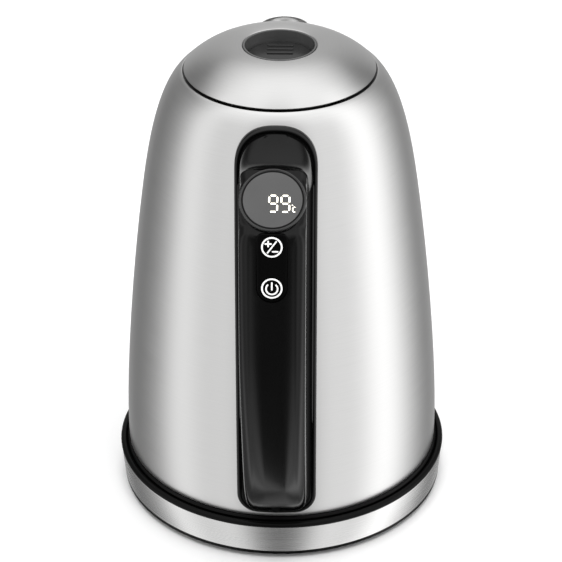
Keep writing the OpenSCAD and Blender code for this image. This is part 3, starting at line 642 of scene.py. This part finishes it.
def make_skirt():
    """The black skirt under the steel wall."""
    cover = LIP_TOP - 0.7
    foot = JUG_R - STEEL - 0.05
    line = [(23.1, cover), (SEAT_R - 0.9, cover, 0.3), (SEAT_R - 0.4, cover + 0.6, 0.3),
            (JUG_R + 0.45, WALL_FOOT - 0.05, 0.2), (foot, WALL_FOOT - 0.05), (foot - 0.2, WALL_FOOT + 4, 0.2),
            (foot - 2.2, WALL_FOOT + 4, 0.2), (foot - 2.2, cover + 2, 0.5), (23.1, cover + 2, 0.2)]
    holes = []
    r = (JUG_R - 17) * MM
    for k in range(3):
        a = math.radians(90 + 120 * k)
        spot = Matrix.Translation((r * math.cos(a), r * math.sin(a), 0))
        holes.append(moved(rod("screw hole", 3, cover - 2, cover + 8, 32), spot))
    place(carved(turned("skirt", soften(line), 256), *holes), "jug_skirt", "jug", "base_black", BASE_BLACK,
          "bottom_cover")


# ---------- lid ----------


def make_lid():
    """The steel dome, rolled into the dish, and the smoky dish itself."""
    dome = bezier((LID_R, LID_EDGE), (LID_R - 7.3, LID_EDGE + 6.9), (DISH_R + 10.3, DOME_TOP + 0.5),
                  (DISH_R + 0.9, DOME_TOP + 0.05), 56)
    under = shifted(dome, 0.7)
    roll = [(DISH_R + 0.55, DOME_TOP + 0.02), (DISH_R + 0.25, DOME_TOP - 0.12),
            (DISH_R + 0.05, DOME_TOP - 0.4), (DISH_R, DOME_TOP - 0.75)]
    edge = [(LID_R - 0.45, LID_EDGE - 0.42), (LID_R - 0.12, LID_EDGE - 0.3)]
    place(turned("lid", edge + dome + roll + under[::-1][1:], 256), "lid_shell", "lid", "brushed_body_steel",
          STEEL_LID, "lid_cover")
    top, flange_low, flange_top = DOME_TOP + 0.15, DISH_FLOOR - 6, DISH_FLOOR - 4.6
    cup = soften([(DISH_R - 1, flange_low), (DISH_R + 2, flange_low, 0.2), (DISH_R + 2, flange_top, 0.2),
                  (DISH_R - 0.05, flange_top), (DISH_R - 0.05, top, 0.3), (DISH_R - 1, top, 0.45)])
    place(turned("dish", cup, 160), "finger_dish", "lid", "smoked_plastic", SMOKE, "lid_dish")


def rib(y):
    """One raised rib on the release button, with round ends."""
    half, w = 6.0, 0.5
    pts = []
    for end, first in ((half - w, -0.5), (w - half, 0.5)):
        for k in range(8):
            a = math.pi * (k / 7 + first)
            pts.append((end + w * math.cos(a), y + w * math.sin(a)))
    return slab("rib", pts, DISH_FLOOR - 0.3, DISH_FLOOR + 0.6, 0.3)


def make_button():
    """The release button in the dish, its stem, and the wedge that draws the latch."""
    r, under = DISH_R - 1.6, DISH_FLOOR - 2.4
    disc = turned("button", soften([(0, under), (r, under), (r, DISH_FLOOR, 0.5), (0, DISH_FLOOR)]), 128)
    stem = rod("stem", 2, DISH_FLOOR - 7.4, DISH_FLOOR - 2.2, 32)
    wedge = slab("wedge", [(-2, 9), (2, 9), (2, 13), (-2, 13)], DISH_FLOOR - 6, DISH_FLOOR - 2)
    ribs = [rib(y) for y in (2, 6, 10)]
    place(joined("release", [disc, stem, wedge] + ribs), "lid_release_button", "release_button",
          "smoked_plastic", SMOKE_FLOOR, "lid_button")


# ---------- handle ----------


PLATE_CORNER = 9


def plate_outline(d, n=40):
    """The backing plate's edge moved in by d, as (x, z), from the bottom's middle round to the left."""
    half, low_z = PLATE_HALF - d, PLATE_LOW + d
    corner = max(PLATE_CORNER - d, 0.4)
    cx, cz = PLATE_HALF - PLATE_CORNER, PLATE_LOW + PLATE_CORNER
    if corner == 0.4:
        cx, cz = half - corner, low_z + corner
    pts = [(cx * k / 8, low_z) for k in range(8)]
    for k in range(n // 4 + 1):
        a = math.pi / 2 * k / (n // 4)
        pts.append((cx + corner * math.sin(a), cz - corner * math.cos(a)))
    top_z = PLATE_HIGH - PLATE_HALF
    pts += [(half, cz + (top_z - cz) * k / 60) for k in range(1, 60)]
    for k in range(n + 1):
        a = math.pi / 2 * k / n
        pts.append((half * math.cos(a) ** 0.84, top_z + 0.99 * half * math.sin(a) ** 0.84))
    left = [(-x, z) for x, z in pts[-2:0:-1]]
    return pts + left


def on_wall(line, x, z):
    """A point at (x, z) on the surface turned from the line, on the handle's side."""
    r = radius_on(line, z)
    return (x, -math.sqrt(max(r * r - x * x, 1)), z)


def make_plate():
    """The backing plate: a rounded rim, then a shallow channel round the grip."""
    # How far in from the edge, and how high over the steel
    profile = [(0.0, 0.03), (0.0, 1.1), (0.12, 1.65), (0.4, 2.0), (0.8, 2.15), (1.25, 2.1), (1.6, 1.85),
               (1.9, 1.45), (2.3, 1.15), (2.9, 1.0), (3.8, 0.95), (5.0, 1.0), (6.5, 1.1), (8.5, 1.25),
               (11, 1.4), (14, 1.5), (17.6, 1.5)]
    base = wall_line(60, 84)
    lines = {h: shifted(base, -h) for _, h in profile}
    rings = [[on_wall(lines[h], x, z) for x, z in plate_outline(d)] for d, h in profile]
    n = len(rings[0])
    points = [p for ring in rings for p in ring]
    faces = []
    for k in range(len(rings) - 1):
        for i in range(n):
            j = (i + 1) % n
            faces.append([k * n + i, k * n + j, (k + 1) * n + j, (k + 1) * n + i])
    last = (len(rings) - 1) * n
    for i in range(0, n // 2):
        a, b, c, d = last + i, last + i + 1, last + (n - i - 1) % n, last + (n - i) % n
        faces.append([v for k, v in enumerate((a, b, c, d)) if v not in (a, b, c, d)[:k]])
    faces = [f for f in faces if len(f) > 2]
    plate = new_mesh("plate", points, faces)
    place(plate, "backing_plate", "jug", "gloss_black", GLOSS_PLATE, "handle_plate",
          smooth=50)


def spaced(line, count):
    """The line at even steps of its length."""
    sums = [0.0]
    for a, b in zip(line, line[1:]):
        sums.append(sums[-1] + math.dist(a, b))
    out, k = [], 0
    for i in range(count + 1):
        want = sums[-1] * i / count
        while k < len(sums) - 2 and sums[k + 1] < want:
            k += 1
        t = (want - sums[k]) / max(sums[k + 1] - sums[k], 1e-9)
        out.append(tuple(line[k][j] + (line[k + 1][j] - line[k][j]) * t for j in (0, 1)))
    return out


def disc_point(along, up):
    """A point near the display in the side view: along it, positive towards the grip, and out of it."""
    a = math.radians(DISC_TILT)
    return (DISC_S + along * math.cos(a) + up * math.sin(a), DISC_Z - along * math.sin(a) + up * math.cos(a))


EDGE = {"grip": 5.2, "saddle": 3.6}
SEAT_START, SEAT_END, SEAT_SUNK = 15.6, -14.2, -1.62


def handle_front():
    """The handle's front line in the side view, as its lower grip, upper grip, display seat and saddle."""
    lower = bezier((JUG_R + 2.6, PLATE_LOW + 2.2), (JUG_R + 17.2, PLATE_LOW + 12.4),
                   (GRIP_REACH - 2.8, PLATE_LOW + 57), (GRIP_REACH, GRIP_MID), 60)
    upper = bezier((GRIP_REACH, GRIP_MID), (GRIP_REACH + 0.8, GRIP_MID + 22),
                   (GRIP_REACH - 5.3, GRIP_MID + 44), (GRIP_REACH - 9.2, GRIP_MID + 62.6), 60)
    upper = [p for p in upper if p[1] < GRIP_MID + 59.6]
    seat = [disc_point(SEAT_START, SEAT_SUNK), disc_point(SEAT_END, SEAT_SUNK)]
    saddle = bezier(seat[1], (seat[1][0] - 8.9, seat[1][1] - 7.2), (MOUTH_R + 17.3, PLATE_HIGH - 11.8),
                    (MOUTH_R + 5.8, PLATE_HIGH - 2.5), 30)
    return lower, upper, seat, saddle


def handle_back():
    """A thousand points up the handle's inner side, round the hand's gap."""
    gap_low, gap_high = PLATE_LOW + 30, GRIP_MID + 59
    back_s = GRIP_REACH - 18.8
    low_end = (back_s, gap_low + 63)
    low_line = bezier((JUG_R - 4, gap_low), (back_s - 5, gap_low + 3), (back_s, gap_low + 29), low_end, 40)
    high_line = bezier(low_end, (back_s, gap_high - 27), (back_s - 5, gap_high),
                       (radius_on(wall_line(), gap_high) - 4, gap_high), 60)
    return spaced(low_line, 420) + spaced(high_line, 580)[1:]


def seat_edge(share):
    """How round the handle's edge is beside the display: it follows the ring."""
    along = SEAT_START + (SEAT_END - SEAT_START) * share
    ring_half = math.sqrt(max((RING_R - 0.2) ** 2 - along ** 2, 0))
    return min(max(GRIP_HALF - ring_half, 0.6), 4.6)


def handle_rungs():
    """Up the handle in the side view: the zone, the points in front and behind, and the edge's radius."""
    lower, upper, seat, saddle = handle_front()
    back = handle_back()
    zones = [("grip", spaced(lower, 40), 0.0, 0.42), ("grip", spaced(upper, 26), 0.42, 0.69),
             ("seat", spaced(seat, 28), 0.70, 0.84), ("saddle", spaced(saddle, 24), 0.85, 1.0)]
    rungs = []
    for zone, line, start, end in zones:
        for i, front in enumerate(line):
            part = i / (len(line) - 1)
            share = start + (end - start) * i / (len(line) - 1)
            edge = seat_edge(part) if zone == "seat" else EDGE[zone]
            rungs.append((zone, front, back[min(int(share * 1000), len(back) - 1)], edge))
    zone, front, rear, edge = rungs[0]
    rungs.insert(0, (zone, (front[0] - 7, front[1] - 1), (rear[0] - 3, rear[1]), edge))
    zone, front, rear, edge = rungs[-1]
    rungs.append((zone, (front[0] - 7, front[1] + 1), (rear[0] - 4, rear[1]), edge))
    return rungs


def half_width(s, z):
    """Half the handle's width in the side view: it flares to the plate and stays inside its arch."""
    t = min(max((MOUTH_R + 31 - s) / 20, 0), 1)
    t = t * t * (3 - 2 * t)
    root_half = PLATE_HALF - 1.6
    above = max(z - (PLATE_HIGH - PLATE_HALF), 0)
    arch = math.sqrt(max(root_half ** 2 - above ** 2, 9))
    return GRIP_HALF * (1 - t) + min(root_half, arch) * t


def bar_section(front, back, q0, q1, round_front, round_back, crown=0.0, steps=7):
    """A ring of points round the handle's bar at one rung, between the depths q0 and q1."""
    length = math.dist(front, back)
    us, uz = (back[0] - front[0]) / length, (back[1] - front[1]) / length
    ring = []

    def add(share, inset, q):
        s, z = front[0] + us * q, front[1] + uz * q
        ring.append((share * (half_width(s, z) - inset), -s, z))

    for side in (-1, 1):
        order = range(steps + 1) if side < 0 else range(steps, -1, -1)
        if side > 0:
            for k in (-2, -1, 0, 1, 2):
                add(k / 3.4, 0, q0 - crown * (1 - (k / 3) ** 2))
        for k in order:
            a = math.pi / 2 * k / steps
            add(side, round_front * (1 - math.cos(a)), q0 + round_front * (1 - math.sin(a)))
    for side in (1, -1):
        order = range(steps + 1) if side > 0 else range(steps, -1, -1)
        for k in order:
            a = math.pi / 2 * k / steps
            add(side, round_back * (1 - math.cos(a)), q1 - round_back * (1 - math.sin(a)))
    return ring


def make_handle():
    """The outer cover, with a recess for the key panel, and the inner shell behind the seam."""
    seam = 8.0
    cover, shell = [], []
    for zone, front, back, edge in handle_rungs():
        depth = math.dist(front, back)
        if zone != "saddle":
            cover.append(bar_section(front, back, 0, seam, edge, 0.25, 0.5 if zone == "grip" else 0))
            shell.append(bar_section(front, back, seam + 0.18, depth, 0.25, 5.0))
        else:
            shell.append(bar_section(front, back, 0.0, depth, edge, 5.0, 0.4))
    block = jug_block(0.9)
    recess = slab("recess", panel_outline(PANEL_HALF + 0.06, PANEL_LOW - 0.06, PANEL_HIGH + 0.06), -1.4, 5)
    recess = moved(recess, frame_at(PANEL_S, PANEL_Z, PANEL_TILT))
    place(carved(stacked("cover", cover), block.copy(), recess), "handle_cover", "jug", "gloss_black", GLOSS,
          "handle_outer_cover")
    place(carved(stacked("shell", shell), block), "handle_shell", "jug", "gloss_black", GLOSS,
          "handle_inner_shell")


def frame_at(s, z, tilt):
    """The place of the display or of the key panel: X across, Y up along the face, Z out of it."""
    return Matrix.Translation((0, -s * MM, z * MM)) @ Matrix.Rotation(math.radians(tilt), 4, "X")


def stroke(a, b, width, bottom, top):
    """A flat stroke from a to b with round ends."""
    base = math.atan2(b[1] - a[1], b[0] - a[0])
    pts = []
    for centre, turn in ((b, -0.5), (a, 0.5)):
        for k in range(7):
            angle = base + math.pi * (turn + k / 6)
            pts.append((centre[0] + width / 2 * math.cos(angle), centre[1] + width / 2 * math.sin(angle)))
    return slab("stroke", pts, bottom, top)


def arc_band(centre, radius, width, start, end, bottom, top, steps=48):
    """A flat band along an arc, in degrees."""
    near, far = radius - width / 2, radius + width / 2
    section = ((near, bottom), (far, bottom), (far, top), (near, top))
    rings = []
    for k in range(steps + 1):
        a = math.radians(start + (end - start) * k / steps)
        rings.append([(centre[0] + r * math.cos(a), centre[1] + r * math.sin(a), z) for r, z in section])
    return stacked("arc", rings)


def digit(x, y, w, h, width, lit, bottom, top):
    """One seven-segment digit, its lower left corner at x, y."""
    gap = 1.25 * width
    right, upper, middle = x + w, y + h, y + h / 2
    lines = {"a": ((x + gap, upper), (right - gap, upper)),
             "b": ((right, upper - gap), (right, middle + gap)),
             "c": ((right, middle - gap), (right, y + gap)),
             "d": ((x + gap, y), (right - gap, y)),
             "e": ((x, middle - gap), (x, y + gap)),
             "f": ((x, upper - gap), (x, middle + gap)),
             "g": ((x + gap, middle), (right - gap, middle))}
    return [stroke(*lines[k], width, bottom, top) for k in lit]


DIGIT_TOP = 0.11
DEGREE_MARK = (((8.25, -2.4), (8.45, -2.4)), ((8.5, -3.7), (8.5, -5.0)), ((8.85, -5.4), (9.4, -5.4)),
               ((8.85, -3.3), (9.4, -3.3)))


def make_display():
    """The ring, the black gasket, the grey lens and the lit digits."""
    there = frame_at(DISC_S, DISC_Z, DISC_TILT)
    ring = soften([(LENS_R + 0.05, -1.55), (RING_R, -1.55), (RING_R, 0.1, 0.5), (RING_R - 0.62, 0.32, 0.25),
                   (RING_R - 0.75, 0.02, 0.12), (LENS_R + 0.05, -0.02, 0.12)])
    place(moved(turned("ring", ring, 160), there), "display_ring", "jug", "gloss_black", RING_BLACK,
          "display_bezel")
    gasket = soften([(LENS_R - 0.55, -1.5), (LENS_R + 0.2, -1.5), (LENS_R + 0.2, 0.0), (LENS_R - 0.55, 0.0)])
    place(moved(turned("gasket", gasket, 160), there), "display_gasket", "jug", "gloss_black", PANEL_BLACK)
    lens = soften([(0, -1.2), (LENS_R - 0.5, -1.2), (LENS_R - 0.5, 0.05, 0.2), (0, 0.05)])
    place(moved(turned("lens", lens, 160), there), "display_window", "jug", "smoked_lens", LENS_GREY,
          "display_lens")
    lit = []
    for x in (-1.45, 3.65):
        lit += digit(x, -5.4, 3.4, 7.3, 0.7, "abcdfg", 0.0, DIGIT_TOP)
    lit += [stroke(a, b, 0.38, 0.0, DIGIT_TOP) for a, b in DEGREE_MARK]
    place(moved(joined("digits", lit), there), "lit_digits", "jug", "display_light", DIGIT_LIGHT,
          "display_digits")


def panel_outline(half, low_y, top_y, steps=20):
    """The key panel's outline: a round foot and two rounded upper corners."""
    corner = 2.5
    pts = []
    for k in range(steps + 1):
        a = math.pi + math.pi * k / steps
        pts.append((half * math.cos(a), low_y + half + half * math.sin(a)))
    for centre, first in ((half - corner, 0), (corner - half, math.pi / 2)):
        for k in range(7):
            a = first + math.pi / 2 * k / 6
            pts.append((centre + corner * math.cos(a), top_y - corner + corner * math.sin(a)))
    return pts


def make_keys():
    """The key panel, and the two keys with their symbols."""
    there = frame_at(PANEL_S, PANEL_Z, PANEL_TILT)
    panel = slab("panel", panel_outline(PANEL_HALF, PANEL_LOW, PANEL_HIGH), -1.2, KEY_TOP, 0.2)
    holes = [moved(rod("key hole", KEY_R + 0.12, -3, 3, 64), Matrix.Translation((0, y * MM, 0)))
             for y in (KEY_PITCH / 2, -KEY_PITCH / 2)]
    place(moved(carved(panel, *holes), there), "key_panel_face", "jug", "gloss_black", PANEL_BLACK,
          "key_panel")
    for body, y, symbol in (("temperature_key", KEY_PITCH / 2, temperature_symbol),
                            ("power_key", -KEY_PITCH / 2, power_symbol)):
        cap = soften([(0, -3.4), (KEY_R + 0.6, -3.4), (KEY_R + 0.6, -2.2), (KEY_R, -2.2),
                      (KEY_R, KEY_TOP, 0.12), (0, KEY_TOP)])
        at = there @ Matrix.Translation((0, y * MM, 0))
        place(moved(turned("cap", cap, 64), at), body + "_cap", body, "gloss_black", PANEL_BLACK, body)
        marks = [moved(m, at) for m in symbol(KEY_TOP - 0.05, KEY_TOP + 0.05)]
        # The symbols carry the white print material with its painted glow.
        place(joined("symbol", marks), body + "_symbol", body, "gloss_black", PRINT_WHITE_PAINTED_GLOW)


def symbol_ring(bottom, top):
    """The ring round either symbol."""
    return arc_band((0, 0), 4.15, 0.7, 0, 360, bottom, top, 72)


def temperature_symbol(bottom, top):
    """A plus and a minus on either side of a slash."""
    return [symbol_ring(bottom, top), stroke((-1.85, -2.5), (1.85, 2.5), 0.62, bottom, top),
            stroke((-2.75, 1.45), (-0.35, 1.45), 0.7, bottom, top),
            stroke((-1.55, 0.3), (-1.55, 2.6), 0.7, bottom, top),
            stroke((0.35, -1.95), (2.5, -1.95), 0.65, bottom, top)]


def power_symbol(bottom, top):
    """An upright stroke in an open ring."""
    return [symbol_ring(bottom, top), arc_band((0, -0.2), 2.45, 0.66, 130, 410, bottom, top, 48),
            stroke((0, -0.6), (0, 2.5), 0.66, bottom, top)]


# ---------- studio ----------


def make_floor():
    """The pale floor under the base."""
    size, depth = 6000, -0.5
    corners = [(x * size, y * size, depth) for x, y in ((-1, -1), (1, -1), (1, 1), (-1, 1))]
    floor = bpy.data.objects.new("studio_floor", new_mesh("studio_floor", corners, [[0, 1, 2, 3]]))
    bpy.context.scene.collection.objects.link(floor)
    finish = Finish("studio floor", grey(0.92), 0.8)
    patches = finish.group(HANDLING, Scale=2.0)
    finish.tint(patches["Patches"], grey(0.91), grey(0.93))
    floor.data.materials.append(finish.material)
    floor.visible_glossy = False


# Brightness round the kettle, as (degrees from the handle's side, brightness)
SURROUND = [(-180, 0.62), (-152, 0.42), (-136, 0.17), (-118, 0.24), (-102, 0.40), (-92, 0.70), (-82, 1.45),
            (-72, 1.35), (-60, 0.80), (-46, 0.95), (-34, 1.25), (-24, 0.90), (-16, 0.22), (0, 0.12),
            (16, 0.22), (24, 1.0), (34, 1.35), (46, 1.05), (58, 0.95), (68, 1.25), (78, 2.0), (88, 1.9),
            (98, 1.30), (110, 0.80), (124, 0.38), (138, 0.17), (152, 0.42), (180, 0.62)]
BRIGHTEST = 4.0
ZENITH = 1.45


def make_surround():
    """The studio round the kettle: soft panels at its sides and a bright ceiling."""
    world = bpy.data.worlds.new("studio")
    bpy.context.scene.world = world
    world.use_nodes = True
    tree = world.node_tree
    split = tree.nodes.new("ShaderNodeSeparateXYZ")
    tree.links.new(tree.nodes.new("ShaderNodeTexCoord").outputs["Generated"], split.inputs[0])
    x, y, z = split.outputs
    angle = math_node(tree, "ARCTAN2", x, math_node(tree, "MULTIPLY", y, -1.0))
    ramp = tree.nodes.new("ShaderNodeValToRGB")
    ramp.color_ramp.interpolation = "B_SPLINE"
    tree.links.new(ranged(tree, angle, 0.0, 1.0, -math.pi, math.pi), ramp.inputs[0])
    marks = ramp.color_ramp.elements
    while len(marks) > 1:
        marks.remove(marks[-1])
    for i, (degrees, level) in enumerate(SURROUND):
        mark = marks[0] if i == 0 else marks.new(degrees / 360 + 0.5)
        mark.position = degrees / 360 + 0.5
        mark.color = (*grey(level / BRIGHTEST), 1)
    mix = tree.nodes.new("ShaderNodeMix")
    mix.data_type = "RGBA"
    tree.links.new(ranged(tree, z, 0.0, 1.0, 0.55, 0.97), mix.inputs["Factor"])
    tree.links.new(ramp.outputs[0], mix.inputs["A"])
    mix.inputs["B"].default_value = (*grey(ZENITH / BRIGHTEST), 1)
    tree.links.new(mix.outputs["Result"], tree.nodes["Background"].inputs["Color"])
    tree.nodes["Background"].inputs["Strength"].default_value = BRIGHTEST


def make_softbox():
    """The large soft light overhead, aimed at the jug's middle."""
    data = bpy.data.lights.new("overhead softbox", "AREA")
    data.shape, data.size, data.energy = "DISK", 1.4, 14
    light = bpy.data.objects.new("overhead softbox", data)
    light.location = (0.0, -0.3, 1.6)
    towards = Vector((0, 0, 0.1)) - light.location
    light.rotation_euler = towards.to_track_quat("-Z", "Y").to_euler()
    bpy.context.scene.collection.objects.link(light)
    light.visible_glossy = False


def make_camera():
    """A long lens that looks down on the handle's side, tipped by a third of a degree."""
    data = bpy.data.cameras.new("camera")
    data.sensor_width, data.lens = 36.0, 149.4
    data.clip_start, data.clip_end = 0.05, 30
    camera = bpy.data.objects.new("camera", data)
    camera.location = (0.0333, -0.9541, 0.6693)
    aim = (Vector((0, 0, 0.1049)) - camera.location).to_track_quat("-Z", "Y").to_matrix()
    camera.rotation_euler = (aim @ Matrix.Rotation(math.radians(-0.3), 3, "Z")).to_euler()
    bpy.context.scene.collection.objects.link(camera)
    bpy.context.scene.camera = camera


make_camera()
dress_nodes()
make_body()
make_spout()
make_base()
make_skirt()
make_lid()
make_button()
make_plate()
make_handle()
make_display()
make_keys()
make_floor()
make_surround()
make_softbox()
bpy.context.scene.view_settings.view_transform = "Standard"
